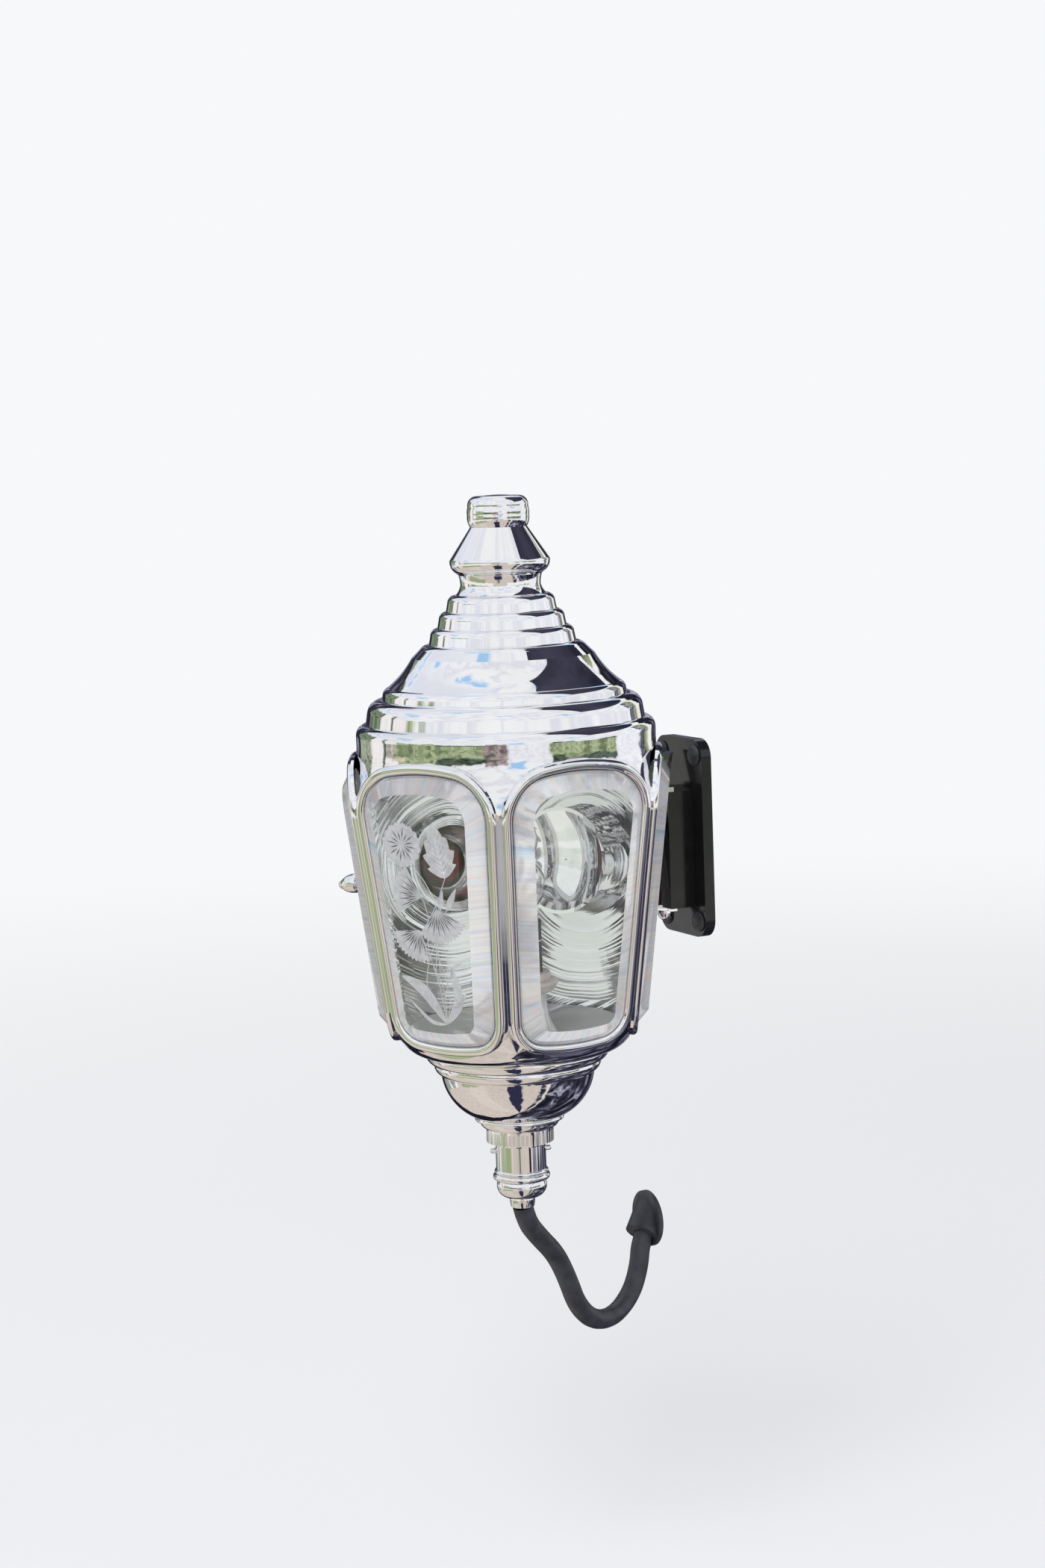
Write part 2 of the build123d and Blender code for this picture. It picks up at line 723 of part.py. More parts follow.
stock_in = rail_out - slide_gap - hook_thick
stock_out = reach - flange_plate
slot_half = rail_wide / 2 + slide_gap
bracket_mid = rail_mid
stock = Pos(-(reach - (stock_in + stock_out) / 2), 0, bracket_mid) * Box(
    stock_out - stock_in, 2 * (slot_half + cheek_thick), bracket_long)
rail_x = -reach + rail_out + rail_thick / 2
nut_z = rail_mid - rail_long / 2
rail_slot = Pos(rail_x, 0, bracket_mid) * Box(
    rail_thick + 2 * slide_gap, 2 * slot_half, 2 * bracket_long)
web_slot = Pos(-reach + stock_in, 0, bracket_mid) * Box(
    2 * hook_thick + 2 * slide_gap, slot_wide, 2 * bracket_long)
nut_room = Pos(rail_x, 0, nut_z - bracket_long / 2) * Cylinder(nut_r + nut_gap, bracket_long)
lug_room = Pos(-reach + rail_out + lug_out / 2, 0, rail_top + (lug_rise + slide_gap) / 2) * Box(
    lug_out + 2 * slide_gap, lug_wide + 2 * slide_gap, lug_rise + slide_gap)
flange = Pos(-flange_plate / 2, 0, 0) * Box(flange_plate, flange_wide, flange_long)
flange = fillet(flange.edges().filter_by(Axis.X), flange_corner_r)
screw_y = flange_wide / 2 - screw_side
screw_z = flange_long / 2 - screw_end
screw_holes = [Pos(0, y, z) * Rot(0, 90, 0) * Cylinder(screw_r, 4 * flange_plate)
               for y in (-screw_y, screw_y) for z in (-screw_z, screw_z)]
rooms = [rail_slot, web_slot, nut_room, lug_room]
save(stock + flange - rooms - screw_holes, "pillar_bracket")

save(Pos(rail_out + rail_thick / 2, 0, 0) * turned([
    (0, 0, 0),
    (nut_r, 0, 0),
    (nut_r, -1.4, 0),
    (nut_r - 0.6, -1.6, cap_bulge(nut_r - 0.6, nut_high - 1.6)),
    (0, -nut_high, 0),
], nut_z), "clamp_nut")
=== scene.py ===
import json
import math

import bmesh
import bpy
from mathutils import Matrix, Vector


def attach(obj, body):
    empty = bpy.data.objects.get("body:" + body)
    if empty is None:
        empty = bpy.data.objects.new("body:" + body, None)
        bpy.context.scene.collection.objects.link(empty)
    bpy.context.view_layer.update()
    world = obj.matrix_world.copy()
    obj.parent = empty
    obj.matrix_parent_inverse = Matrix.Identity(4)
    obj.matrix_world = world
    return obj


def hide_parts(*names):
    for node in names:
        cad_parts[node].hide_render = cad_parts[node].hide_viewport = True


# Dressing for the carriage side lamp. Metres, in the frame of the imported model: +Z up, the
# bracket's back face on X = 0, the lamp's axis at X = -REACH.

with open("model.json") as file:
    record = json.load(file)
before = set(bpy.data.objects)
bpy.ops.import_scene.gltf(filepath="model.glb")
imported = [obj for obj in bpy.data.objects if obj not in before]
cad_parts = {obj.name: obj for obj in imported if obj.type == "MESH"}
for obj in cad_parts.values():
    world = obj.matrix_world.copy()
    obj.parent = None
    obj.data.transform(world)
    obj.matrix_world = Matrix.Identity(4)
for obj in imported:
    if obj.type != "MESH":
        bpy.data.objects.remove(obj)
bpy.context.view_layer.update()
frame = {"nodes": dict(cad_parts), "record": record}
nodes = frame["nodes"]

MM = 0.001
REACH = 90 * MM
MIDDLE = (-REACH, 0, 0)
scene = bpy.context.scene
scene.view_settings.view_transform = "Standard"

# Body, as the CAD has it
FLATS_TOP = 129.9 * MM
FLATS_FOOT = 96.8 * MM
SIDE_HIGH = 138 * MM
FOOT_Z = -86 * MM
SLOPE = math.atan((FLATS_TOP - FLATS_FOOT) / 2 / SIDE_HIGH)
GLASS_THICK = 7.1 * MM


def axes(x, y, z, origin):
    """The frame with these axes and this origin."""
    m = Matrix.Identity(4)
    for column, vector in enumerate((x, y, z, origin)):
        for row in range(3):
            m[row][column] = vector[row]
    return m


def placed(name, data):
    """A new object in the scene."""
    obj = bpy.data.objects.new(name, data)
    scene.collection.objects.link(obj)
    return obj


def side_matrix(azimuth):
    """Frame of one side of the body: x across it, y up it, z out of it."""
    a = math.radians(azimuth)
    out = Vector((math.sin(a), -math.cos(a), 0))
    foot = Vector((-REACH, 0, FOOT_Z)) + out * (FLATS_FOOT / 2)
    across = Vector((math.cos(a), math.sin(a), 0))
    normal = out * math.cos(SLOPE) - Vector((0, 0, math.sin(SLOPE)))
    return axes(across, normal.cross(across), normal, foot)


# Camera, as found from the lamp's round parts and side edges in the photograph
VIEW_AZ = math.radians(-26.7)
PITCH = math.radians(6.705)
ROLL = math.radians(2.02)
FOCAL_PX, OFF_PX = 4083, 20     # focal length, and the lamp's axis off the middle, in pixels
YAW = -math.atan(OFF_PX / FOCAL_PX)
STAND_OFF = 1303.88 * MM
DATUM_Z = 30 * MM               # height on the axis that it looks at
FILM_HIGH, LENS = 36, 70        # millimetres
CLIP_END = 100


def add_camera():
    """The photograph's standpoint and long lens."""
    data = bpy.data.cameras.new("camera")
    data.sensor_fit = "VERTICAL"
    data.sensor_height = FILM_HIGH
    data.lens = LENS
    data.clip_end = CLIP_END
    camera = placed("camera", data)
    out = Vector((math.sin(VIEW_AZ), -math.cos(VIEW_AZ), 0))
    place = Vector((-REACH, 0, DATUM_Z + STAND_OFF * math.tan(PITCH))) + out * STAND_OFF
    forward = -out * math.cos(PITCH) - Vector((0, 0, math.sin(PITCH)))
    forward.rotate(Matrix.Rotation(YAW, 3, "Z"))
    right = forward.cross(Vector((0, 0, 1))).normalized()
    right.rotate(Matrix.Rotation(ROLL, 3, forward))
    camera.matrix_world = axes(right, right.cross(forward), -forward, place)
    scene.camera = camera


# Materials
def material(name):
    """A new node material: its tree and its principled shader."""
    m = bpy.data.materials.new(name)
    m.use_nodes = True
    return m, m.node_tree, m.node_tree.nodes["Principled BSDF"]


def bare(name):
    """A new material with an empty node tree."""
    m, tree, _ = material(name)
    tree.nodes.clear()
    return m, tree


def noise_at(tree, vector, scale, detail, distortion=0.0):
    """Noise at a vector socket."""
    texture = tree.nodes.new("ShaderNodeTexNoise")
    texture.inputs["Scale"].default_value = scale
    texture.inputs["Detail"].default_value = detail
    texture.inputs["Distortion"].default_value = distortion
    tree.links.new(vector, texture.inputs["Vector"])
    return texture.outputs["Fac"]


def here(tree):
    """Object coordinates, which are metres in the part's frame."""
    return tree.nodes.new("ShaderNodeTexCoord").outputs["Object"]


def noise(tree, scale, detail=3.0, stretch=(1, 1, 1), distortion=0.0):
    """Noise in object coordinates, stretched along the axes."""
    mapping = tree.nodes.new("ShaderNodeMapping")
    mapping.inputs["Scale"].default_value = stretch
    tree.links.new(here(tree), mapping.inputs["Vector"])
    return noise_at(tree, mapping.outputs["Vector"], scale, detail, distortion)


def ramp(tree, value, stops):
    """A colour ramp over a value. Stops: place, colour."""
    node = tree.nodes.new("ShaderNodeValToRGB")
    while len(node.color_ramp.elements) < len(stops):
        node.color_ramp.elements.new(0.5)
    for element, (place, colour) in zip(node.color_ramp.elements, stops):
        element.position = place
        element.color = (*colour, 1)
    tree.links.new(value, node.inputs["Fac"])
    return node.outputs["Color"]


def maths(tree, operation, a, b=None, clamp=False):
    """A maths node on sockets or numbers."""
    node = tree.nodes.new("ShaderNodeMath")
    node.operation = operation
    node.use_clamp = clamp
    for socket, value in zip(node.inputs, (a, b)):
        if isinstance(value, (int, float)):
            socket.default_value = value
        elif value is not None:
            tree.links.new(value, socket)
    return node.outputs[0]


def vectors(tree, operation, a, b=None):
    """A vector maths node on sockets or three numbers."""
    node = tree.nodes.new("ShaderNodeVectorMath")
    node.operation = operation
    for socket, value in zip(node.inputs, (a, b)):
        if isinstance(value, bpy.types.NodeSocket):
            tree.links.new(value, socket)
        elif value is not None:
            socket.default_value = value
    return node.outputs["Value" if operation in ("LENGTH", "DOT_PRODUCT") else "Vector"]


def mixed(tree, share, a, b, blend="MIX"):
    """A mix of two colours, each a socket or three numbers."""
    node = tree.nodes.new("ShaderNodeMix")
    node.data_type = "RGBA"
    node.blend_type = blend
    tree.links.new(share, node.inputs["Factor"])
    for name, value in (("A", a), ("B", b)):
        if isinstance(value, tuple):
            node.inputs[name].default_value = (*value, 1)
        else:
            tree.links.new(value, node.inputs[name])
    return node.outputs["Result"]


def shown(tree, share, a, b, out):
    """Shows shader a where the share is 0, and b where it is 1, through an output node."""
    either = tree.nodes.new("ShaderNodeMixShader")
    tree.links.new(share, either.inputs["Fac"])
    tree.links.new(a.outputs[0], either.inputs[1])
    tree.links.new(b.outputs[0], either.inputs[2])
    tree.links.new(either.outputs[0], out.inputs["Surface"])


def lets_lamps_in(tree, shader):
    """Lets the light of lamps and sky through to what a clear piece shuts in."""
    path = tree.nodes.new("ShaderNodeLightPath")
    open_air = tree.nodes.new("ShaderNodeBsdfTransparent")
    shown(tree, path.outputs["Is Shadow Ray"], shader, open_air, tree.nodes["Material Output"])


def ranged(tree, value, start, end, low, high, curve="LINEAR"):
    """Maps start..end to low..high and holds the ends."""
    node = tree.nodes.new("ShaderNodeMapRange")
    node.interpolation_type = curve
    for name, number in (("From Min", start), ("From Max", end), ("To Min", low),
                         ("To Max", high)):
        node.inputs[name].default_value = number
    tree.links.new(value, node.inputs["Value"])
    return node.outputs["Result"]


def spread(tree, value, low, high):
    """Maps most of a noise's range, or a switch of 0 or 1, to low..high."""
    return ranged(tree, value, 0.3, 0.7, low, high)


def bump(tree, shader, height, distance, strength=1.0):
    """Bump from a height on the shader."""
    node = tree.nodes.new("ShaderNodeBump")
    node.inputs["Strength"].default_value = strength
    node.inputs["Distance"].default_value = distance
    tree.links.new(height, node.inputs["Height"])
    tree.links.new(node.outputs["Normal"], shader.inputs["Normal"])
    return node


def silver_nodes(name, colours, rough, ripple):
    """Polished plate: faint tarnish, wipe marks and a slow ripple of hand-worked sheet."""
    m, tree, shader = material(name)
    shader.inputs["Metallic"].default_value = 1.0
    tree.links.new(ramp(tree, noise(tree, 26, 5), [(0.30, colours[0]), (0.62, colours[1])]),
                   shader.inputs["Base Color"])
    tree.links.new(spread(tree, noise(tree, 60, 6, (1, 1, 3.0), 1.2), *rough),
                   shader.inputs["Roughness"])
    bump(tree, shader, noise(tree, 34, 1.0), ripple)
    return m, tree, shader


def silver(name, colours, rough, ripple, metallic=1.0):
    """The same as a material alone, with some white in it where metallic is under 1."""
    m, tree, shader = silver_nodes(name, colours, rough, ripple)
    shader.inputs["Metallic"].default_value = metallic
    return m


def glass(name, tint, rough, ior):
    """Solid clear glass."""
    m, tree, shader = material(name)
    shader.inputs["Base Color"].default_value = (*tint, 1)
    shader.inputs["Transmission Weight"].default_value = 1.0
    shader.inputs["IOR"].default_value = ior
    tree.links.new(spread(tree, noise(tree, 90, 4), *rough), shader.inputs["Roughness"])
    lets_lamps_in(tree, shader)
    return m


def plain(name, dark, light, rough, scale=120, metallic=0.0, grain=0.0):
    """An opaque finish that varies a little between two colours."""
    m, tree, shader = material(name)
    shader.inputs["Metallic"].default_value = metallic
    tree.links.new(ramp(tree, noise(tree, scale, 5), [(0.3, dark), (0.7, light)]),
                   shader.inputs["Base Color"])
    tree.links.new(spread(tree, noise(tree, scale * 1.7, 4), *rough), shader.inputs["Roughness"])
    if grain:
        bump(tree, shader, noise(tree, 900, 4), grain)
    return m


DISH_UP = 76.55 * MM     # up a side plane to the centre of its dish or mirror
RINGS = 330              # how close the rings of spinning lie, as a noise's scale
RING_WANDER = 4 * MM     # how far they stray from true circles
INSIDE = -0.02           # a face whose normal times its place is below this looks inward
INSIDE_METAL = 0.85


def spin(tree, shader, azimuth, depth, where):
    """Fine rings round the dish of a side, as left by spinning and polishing."""
    place = side_matrix(azimuth)
    off = vectors(tree, "SUBTRACT", here(tree), place @ Vector((0, DISH_UP, 0)))
    far = vectors(tree, "LENGTH", vectors(tree, "CROSS_PRODUCT", off, place.col[2].xyz))
    at = tree.nodes.new("ShaderNodeCombineXYZ")
    wander = maths(tree, "MULTIPLY", noise(tree, 26, 2), RING_WANDER)
    tree.links.new(maths(tree, "ADD", far, wander), at.inputs[0])
    under = shader.inputs["Normal"].links[0].from_socket
    node = bump(tree, shader, noise_at(tree, at.outputs[0], RINGS, 2.5), depth)
    tree.links.new(under, node.inputs["Normal"])
    tree.links.new(where, node.inputs["Strength"])


def lined(name, azimuth, depth):
    """Plate whose faces toward the lamp's axis are paler and show the rings of spinning."""
    m, tree, shader = silver_nodes(name, PLATE, PLATE_ROUGH, PLATE_RIPPLE)
    geometry = tree.nodes.new("ShaderNodeNewGeometry")
    outward = vectors(tree, "MULTIPLY", vectors(tree, "SUBTRACT", here(tree), MIDDLE), (1, 1, 0))
    facing = vectors(tree, "DOT_PRODUCT", outward, geometry.outputs["True Normal"])
    inside = maths(tree, "LESS_THAN", facing, INSIDE)
    tree.links.new(spread(tree, inside, 1.0, INSIDE_METAL), shader.inputs["Metallic"])
    spin(tree, shader, azimuth, depth, inside)
    return m


PLATE = [(0.87, 0.87, 0.87), (0.95, 0.95, 0.96)]
PLATE_ROUGH = (0.015, 0.06)
PLATE_RIPPLE = 0.00012
plate = silver("silver_plate", PLATE, PLATE_ROUGH, PLATE_RIPPLE)
lantern_plate = lined("silver_plate_lined", 180, 0.0007)
panel = lined("silver_panel", 120, 0.0004)
reflector = silver("reflector", [(0.92, 0.92, 0.91), (0.98, 0.98, 0.98)], (0.05, 0.14), 0.005,
                   0.3)
mirror = silver("mirror_silver", [(0.92, 0.93, 0.91), (0.96, 0.97, 0.96)], (0.0, 0.03), 0.00006,
                0.92)
ruby = glass("ruby_glass", (0.07, 0.001, 0.002), (0.0, 0.03), 1.5)
bulb_glass = glass("bulb_glass", (0.99, 0.99, 0.99), (0.0, 0.02), 1.46)
porcelain = plain("porcelain", (0.76, 0.66, 0.60), (0.88, 0.83, 0.79), (0.3, 0.45))
nickel = plain("dark_nickel", (0.03, 0.031, 0.034), (0.08, 0.081, 0.085), (0.42, 0.6), 200, 0.3)
rubber = plain("black_rubber", (0.018, 0.020, 0.026), (0.042, 0.045, 0.056), (0.36, 0.55), 160,
               0.0, 0.00004)
enamel = plain("black_enamel", (0.006, 0.006, 0.007), (0.012, 0.012, 0.014), (0.12, 0.2), 90)

# Painted glints: the pale prism colours that light makes in a bevel, painted into its base colour
PAINTED_PRISM_GLINTS = [(0.27, (0.50, 0.53, 0.66)), (0.34, (0.74, 0.82, 0.76)), (0.40, (0.95, 0.95, 1.0)),
         (0.46, (0.80, 0.79, 0.86)), (0.51, (0.99, 0.97, 0.92)), (0.56, (0.97, 0.85, 0.80)),
         (0.61, (0.92, 0.93, 0.99)), (0.67, (0.74, 0.86, 0.95)), (0.73, (0.50, 0.64, 0.85))]
FLAT_LIMIT = 0.94        # cosine between the pane's normal and a face that still counts as flat
SPINE = (44 * MM, 96 * MM)  # heights between which the painted glint streaks of a bevel run level
CROWN_HIGH = 30 * MM     # above them, painted shade greys the bevel over this height
# Painted shade on the top of the bevel: its grey, and how much of it shows
CROWN_PAINTED_SHADE, CROWN_SHADE_SHARE = (0.50, 0.49, 0.54), 0.5
# How fast the painted glint streaks change with the direction round a corner, with the height,
# and from one side of the pane to the other
STREAKS = (3.0, 60.0, 4.0)
STREAK_SCALE = 2.2
CLEAR = (0.97, 0.99, 0.98)
BEVEL_CLEAR, BEVEL_ROUGH = 0.6, 0.10
PANE_IOR = 1.5


def bevelled_glass(azimuth):
    """Clear plate glass whose polished bevel has painted glints: pale prism colours in fine
    streaks that run across the bevel and fan out round its corners, and painted shade greying its
    top."""
    m, tree, shader = material(f"bevelled_glass_{azimuth}")
    place = side_matrix(azimuth)
    foot, across, rise, normal = (place.col[k].xyz for k in (3, 0, 1, 2))

    def along(axis):
        at = vectors(tree, "DOT_PRODUCT", here(tree), axis)
        return maths(tree, "SUBTRACT", at, foot.dot(axis))

    geometry = tree.nodes.new("ShaderNodeNewGeometry")
    flatness = vectors(tree, "DOT_PRODUCT", geometry.outputs["True Normal"], normal)
    bevel = maths(tree, "LESS_THAN", maths(tree, "ABSOLUTE", flatness), FLAT_LIMIT)
    u, v = along(across), along(rise)
    held = maths(tree, "MINIMUM", maths(tree, "MAXIMUM", v, SPINE[0]), SPINE[1])
    turn = maths(tree, "ARCTAN2", maths(tree, "SUBTRACT", v, held), maths(tree, "ABSOLUTE", u))
    at = tree.nodes.new("ShaderNodeCombineXYZ")
    for socket, value, close in zip(at.inputs, (turn, held, maths(tree, "SIGN", u)), STREAKS):
        tree.links.new(maths(tree, "MULTIPLY", value, close), socket)
    # Painted glints: the prism colours in streaks, painted into the bevel's colour
    streaks = ramp(tree, noise_at(tree, at.outputs[0], STREAK_SCALE, 5.0), PAINTED_PRISM_GLINTS)
    # Painted shade: the bevel turns greyer above the level streaks
    crown = maths(tree, "MULTIPLY", maths(tree, "SUBTRACT", v, SPINE[1]), 1 / CROWN_HIGH,
                  clamp=True)
    glints_and_crown_shade = mixed(tree, maths(tree, "MULTIPLY", crown, CROWN_SHADE_SHARE), streaks, CROWN_PAINTED_SHADE)
    tree.links.new(mixed(tree, bevel, CLEAR, glints_and_crown_shade), shader.inputs["Base Color"])
    tree.links.new(spread(tree, bevel, 1.0, BEVEL_CLEAR), shader.inputs["Transmission Weight"])
    tree.links.new(spread(tree, bevel, 0.0, BEVEL_ROUGH), shader.inputs["Roughness"])
    shader.inputs["IOR"].default_value = PANE_IOR
    lets_lamps_in(tree, shader)
    return m


def cut_glass(name, dark, light, cover, through):
    """Wheel-cut frosting between two greys."""
    m, tree, shader = material(name)
    tree.links.new(ramp(tree, noise(tree, 500, 3), [(0.3, dark), (0.7, light)]),
                   shader.inputs["Base Color"])
    shader.inputs["Roughness"].default_value = 0.5
    shader.inputs["Transmission Weight"].default_value = through
    tree.links.new(spread(tree, noise(tree, 240, 3), *cover), shader.inputs["Alpha"])
    return m


finish = {"silver_plate": plate, "reflector": reflector, "ruby_glass": ruby,
          "bulb_glass": bulb_glass, "porcelain": porcelain, "dark_nickel": nickel,
          "black_rubber": rubber, "black_enamel": enamel}


def dress(name, m):
    """Gives a CAD node a material."""
    nodes[name].data.materials.clear()
    nodes[name].data.materials.append(m)


GLAZED = {"pane_front": 0, "pane_outer_front": -60, "pane_outer_rear": -120,
          "pane_inner_front": 60}

for entry in frame["record"]["subparts"]:
    if entry["node"] in GLAZED:
        dress(entry["node"], bevelled_glass(GLAZED[entry["node"]]))
    else:
        dress(entry["node"], finish[entry["material_slot"]])
dress("concave_mirror", mirror)
dress("mirror_panel", panel)
for lit_inside in ("door_dish", "body_frame", "door_plate"):
    dress(lit_inside, lantern_plate)


def own(name, data, slot, look=None):
    """A new piece on the lantern, with its finish."""
    obj = placed(name, data)
    data.materials.append(look or finish[slot])
    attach(obj, "lantern")
    return obj


# Lead: route in an upright plane through the axis, share of the way to the pillar and
# millimetres below the gland's mouth
LEAD_AZ = math.radians(118)
LEAD_R = 4.5 * MM
MOUTH_Z = -155.7 * MM
LEAD_ROUTE = [
    (0.0, 0.0), (0.023, 7.5), (0.108, 16.3), (0.235, 27.5), (0.319, 40.8), (0.388, 55.3),
    (0.515, 65.8), (0.677, 68.3), (0.824, 61.6), (0.898, 50.3), (0.917, 38.8), (1.0, 29.5),
]


def round_curve(name, kind, points, r, sides, steps):
    """A round curve through or along points: its data and its one spline."""
    data = bpy.data.curves.new(name, "CURVE")
    data.dimensions = "3D"
    data.bevel_depth = r
    data.bevel_resolution = sides
    data.resolution_u = steps
    data.use_fill_caps = True
    line = data.splines.new(kind)
    line.points.add(len(points) - 1)
    for point, co in zip(line.points, points):
        point.co = (*co, 1)
    return data, line


def add_lead():
    """The rubber lead from the plug's gland to the grommet on the pillar."""
    route = [(-REACH + share * REACH, -share * REACH / math.tan(LEAD_AZ), MOUTH_Z - drop * MM)
             for share, drop in LEAD_ROUTE]
    data, line = round_curve("rubber_lead", "NURBS", route, LEAD_R, 8, 16)
    line.order_u = 3
    line.use_endpoint_u = True
    obj = own("rubber_lead", data, "black_rubber")
    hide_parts("lead")


# Engraving: a spray of round heads, fans and leaves, laid out on the outer front pane in
# millimetres across it and up it
SPRAY_AZ = -60
SPRAY_SINK = 0.03
SPRAY_PROUD = 0.06
ROOT = (4.0, 23.0)
# Round heads: centre, radius, number of petals
HEADS = [((-9.5, 100.0), 9.6, 16)]
# Fans: apex, radius, direction in degrees, spread, number of rays
FANS = [
    ((-2.0, 78.0), 15.0, 165, 95, 13),
    ((-5.0, 63.5), 14.0, 235, 100, 12),
    ((4.5, 73.0), 15.0, 283, 108, 14),
]
# Leaves: foot, tip, half width, number of teeth
LEAVES = [
    ((10.6, 86.5), (6.5, 109.5), 8.6, 4),
    ((9.6, 72.5), (15.5, 82.5), 1.5, 0),
    ((6.5, 72.5), (8.6, 81.5), 1.0, 0),
]
# Blades: foot, bend, tip, half width
BLADES = [
    (ROOT, (-6.0, 37.0), (-16.5, 43.0), 2.6),
    (ROOT, (11.0, 34.0), (8.6, 49.0), 2.3),
    (ROOT, (-4.0, 24.0), (-14.0, 33.0), 0.8),
    ((8.0, 30.5), (12.0, 33.0), (15.5, 38.0), 0.9),
    ((7.5, 42.0), (10.0, 48.0), (14.5, 50.0), 0.8),
]
# Stems: points that a smooth curve follows
STEMS = [
    [ROOT, (-4.0, 38.0), (-1.0, 52.0), (5.5, 64.0), (6.0, 76.0), (10.6, 86.5)],
    [ROOT, (4.0, 38.0), (-0.5, 50.0), (-5.0, 63.5)],
    [ROOT, (2.0, 40.0), (-1.5, 56.0), (0.0, 68.0), (-2.0, 78.0), (-7.0, 91.0)],
    [(3.2, 44.0), (3.4, 60.0), (4.5, 73.0), (0.5, 84.0), (-6.0, 91.5)],
    [ROOT, (6.8, 36.0), (3.2, 52.0), (0.5, 66.0), (6.5, 78.0), (10.6, 86.5)],
    [(4.6, 34.0), (7.5, 50.0), (4.5, 66.0), (9.6, 72.5)],
    [(1.0, 45.0), (3.6, 62.0), (6.5, 72.5)],
]
STEM_WIDE = 0.34
CUT_WIDE = 0.55
CUT_ENDS = ((0.16, 0.62), (0.24, 0.80))     # of even and odd cuts, as shares of the radius
PETAL_STEPS = 6
SCALLOP = 0.08                  # depth of the scallops, as a share of the radius
BELLY, BLUNT = 0.72, 0.8        # a leaf's half width goes by sin(pi t^BELLY)^BLUNT
TOOTH = 0.30                    # depth of its teeth, as a share of the half width
VEIN_PITCH, VEIN_RISE = 0.37, 0.24  # of its side veins, as shares of its length
CURVE_STEPS = 14


def slab(outlines, place, low, high):
    """Closed thin solids of flat outlines: (vertices, faces) of one mesh, placed."""
    vertices, faces = [], []
    for outline in outlines:
        first, n = len(vertices), len(outline)
        for level in (low, high):
            vertices += [place @ Vector((u * MM, v * MM, level * MM)) for u, v in outline]
        faces.append(tuple(first + i for i in reversed(range(n))))
        faces.append(tuple(first + n + i for i in range(n)))
        faces += [(first + i, first + (i + 1) % n, first + n + (i + 1) % n, first + n + i)
                  for i in range(n)]
    return vertices, faces


def polar(centre, r, degrees):
    """A point at a distance and direction."""
    a = math.radians(degrees)
    return (centre[0] + r * math.cos(a), centre[1] + r * math.sin(a))


def flower(centre, r, first, spread_deg, count):
    """A frosted head or fan with a scalloped edge, and the fine lines cut into it."""
    whole = spread_deg == 360
    steps = count * PETAL_STEPS
    edge = []
    for k in range(steps + (0 if whole else 1)):
        short = SCALLOP * (1 - abs(math.sin(math.pi * k / PETAL_STEPS)))
        edge.append(polar(centre, r * (1 - short), first + spread_deg * k / steps))
    cuts = []
    for k in range(count):
        a = first + spread_deg * (k + 0.5) / count
        inner, outer = (r * share for share in CUT_ENDS[k % 2])
        mid = (inner + outer) / 2
        half = math.degrees(CUT_WIDE / 2 / mid)
        cuts.append([polar(centre, inner, a), polar(centre, mid, a - half),
                     polar(centre, outer, a), polar(centre, mid, a + half)])
    return edge if whole else [centre] + edge, cuts


def leaf(foot, tip, half, teeth):
    """A pointed leaf, toothed if asked, and its midrib and side veins."""
    (x0, y0), (x1, y1) = foot, tip
    length = math.hypot(x1 - x0, y1 - y0)
    ux, uy = (x1 - x0) / length, (y1 - y0) / length

    def place(t, off):
        return (x0 + ux * length * t - uy * off, y0 + uy * length * t + ux * off)

    def body(t):
        return half * math.sin(math.pi * t ** BELLY) ** BLUNT

    def wide(t):
        step = (t * teeth) % 1 if teeth else 1.0
        return body(t) * (1 - TOOTH * (1 - step))

    steps = max(8 * teeth, 16)
    ts = [k / steps for k in range(1, steps)]
    edge = [foot] + [place(t, -wide(t)) for t in ts] + [tip]
    edge += [place(t, wide(t)) for t in reversed(ts)]
    veins = []
    if teeth:
        veins.append([place(0.0, -0.1), place(0.85, -0.04), place(0.85, 0.04), place(0.0, 0.1)])
        for k in range(1, 2 * teeth):
            t0 = k * VEIN_PITCH / teeth
            t1 = t0 + VEIN_RISE
            reach = 0.8 * body(t1)
            for sign in (-1, 1):
                veins.append([place(t0, 0.12 * sign), place(t1, sign * (reach - 0.15)),
                              place(t1 + 0.004, sign * reach), place(t0 + 0.012, 0.12 * sign)])
    return edge, veins


def smooth(points):
    """A Catmull-Rom curve through points."""
    padded = [points[0]] + list(points) + [points[-1]]
    line = []
    for p0, p1, p2, p3 in zip(padded, padded[1:], padded[2:], padded[3:]):
        for k in range(CURVE_STEPS):
            t = k / CURVE_STEPS
            line.append(tuple(
                0.5 * (2 * b + (c - a) * t + (2 * a - 5 * b + 4 * c - d) * t ** 2
                       + (3 * b - a - 3 * c + d) * t ** 3)
                for a, b, c, d in zip(p0, p1, p2, p3)))
    return line + [points[-1]]


def strip(line, widths):
    """An outline along a line with a half width at each point."""
    left, right = [], []
    for i, (x, y) in enumerate(line):
        xa, ya = line[max(i - 1, 0)]
        xb, yb = line[min(i + 1, len(line) - 1)]
        long = math.hypot(xb - xa, yb - ya)
        nx, ny = -(yb - ya) / long, (xb - xa) / long
        left.append((x + nx * widths[i], y + ny * widths[i]))
        right.append((x - nx * widths[i], y - ny * widths[i]))
    return right + left[::-1]


